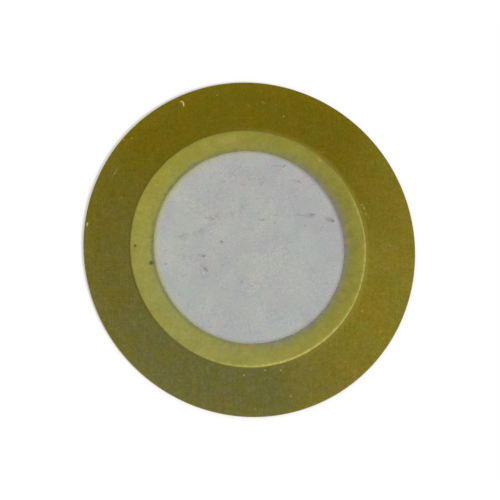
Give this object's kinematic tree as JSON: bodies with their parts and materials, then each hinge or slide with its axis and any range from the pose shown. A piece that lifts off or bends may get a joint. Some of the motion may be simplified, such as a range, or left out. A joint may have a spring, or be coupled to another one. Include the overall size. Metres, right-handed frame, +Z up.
{
  "type": "piezo disc",
  "caption": "Thin round brass plate with a smaller disc of piezo ceramic bonded on top, under a round silver electrode; it bends when driven, or gives a voltage when bent.",
  "frame": {"origin": "centre of the brass plate's underside", "axes": "+Z up through the ceramic, square to the plate; X and Y lie in the plate's underside"},
  "size_m": [0.035, 0.035, 0.0005],
  "materials": {
    "brass": "rolled brass sheet, dulled by tarnish and handling",
    "adhesive": "clear amber cured epoxy",
    "ceramic": "lapped lead zirconate titanate, unglazed, yellow-olive",
    "silver": null
  },
  "bodies": {
    "root": {"brass_plate": "brass", "adhesive_film": "adhesive", "lower_electrode": "silver", "ceramic_disc": "ceramic", "upper_electrode": "silver"}
  },
  "joints": []
}
